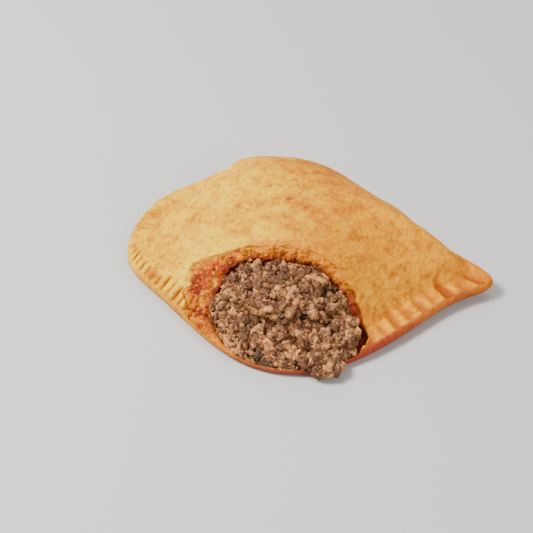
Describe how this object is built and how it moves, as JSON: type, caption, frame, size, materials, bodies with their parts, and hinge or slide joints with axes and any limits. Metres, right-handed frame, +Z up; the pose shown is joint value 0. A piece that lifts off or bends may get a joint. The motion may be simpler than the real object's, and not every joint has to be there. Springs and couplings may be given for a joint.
{
  "type": "bitten half-moon meat pie",
  "caption": "Baked half-moon turnover with a fork-crimped rim and a large bite at the front that shows its minced meat filling.",
  "frame": {"origin": "on the table, under the middle of the pie's outline", "axes": "+X towards the pinched right tip, +Y towards the folded back edge, +Z up"},
  "size_m": [0.1451, 0.1038, 0.03],
  "materials": {
    "baked_pastry": "golden baked pastry, slightly glossy",
    "minced_beef": "moist cooked mince"
  },
  "bodies": {
    "root": {"crust": "baked_pastry", "filling": "minced_beef"}
  },
  "joints": []
}
